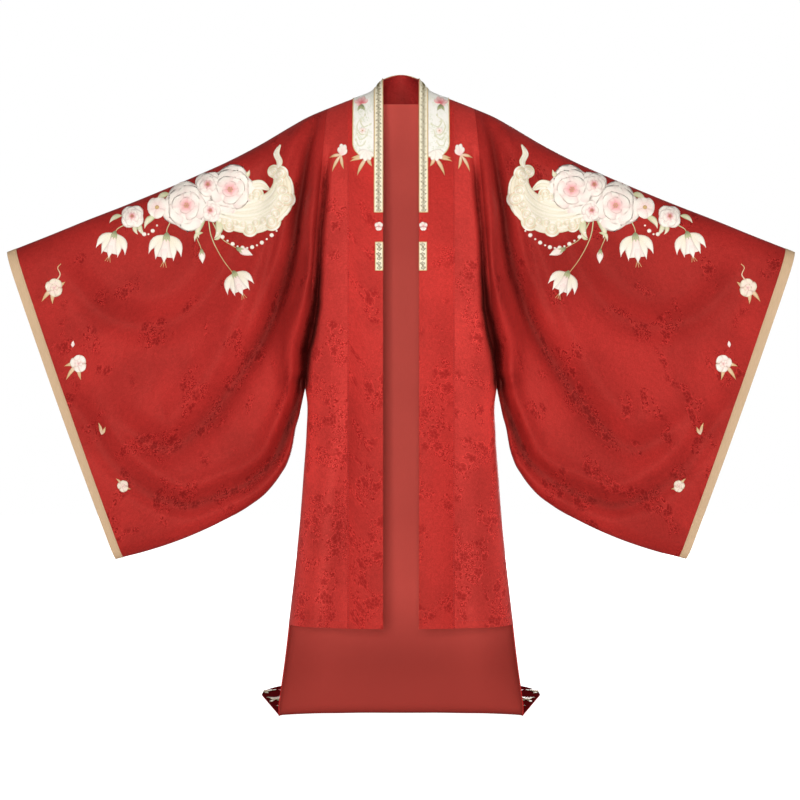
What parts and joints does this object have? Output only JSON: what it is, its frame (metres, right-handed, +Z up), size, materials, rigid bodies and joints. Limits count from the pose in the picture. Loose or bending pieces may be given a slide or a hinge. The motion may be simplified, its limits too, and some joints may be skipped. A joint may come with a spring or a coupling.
{
  "type": "wide-sleeved hanfu robe",
  "caption": "Open-fronted hanfu robe in its worn form, with wide hanging sleeves, a broad collar band, edged cuffs and a back that trails on the floor.",
  "frame": {"origin": "between the shoulders, at the level where the neck meets them", "axes": "+Z up, front towards -Y, +X to the wearer's left, along which the sleeves reach out"},
  "size_m": [1.9204, 0.9166, 1.5954],
  "materials": {
    "silk": "red figured silk with a soft sheen",
    "lining": "plain matt lining, brownish red",
    "gold": "tan-gold ribbon",
    "cream": "cream embroidery and scrolled trim"
  },
  "bodies": {
    "root": {"back_left": "silk", "back_right": "silk", "back_lining": "lining", "collar_band": "silk", "collar_overlay": "cream", "collar_trim": "cream", "front_left": "silk", "front_right": "silk", "sleeve_left": "silk", "sleeve_right": "silk", "cuff_left": "gold", "cuff_right": "gold", "trim_tab_left": "cream", "trim_tab_right": "cream", "blossom_left": "cream", "blossom_right": "cream"}
  },
  "joints": []
}
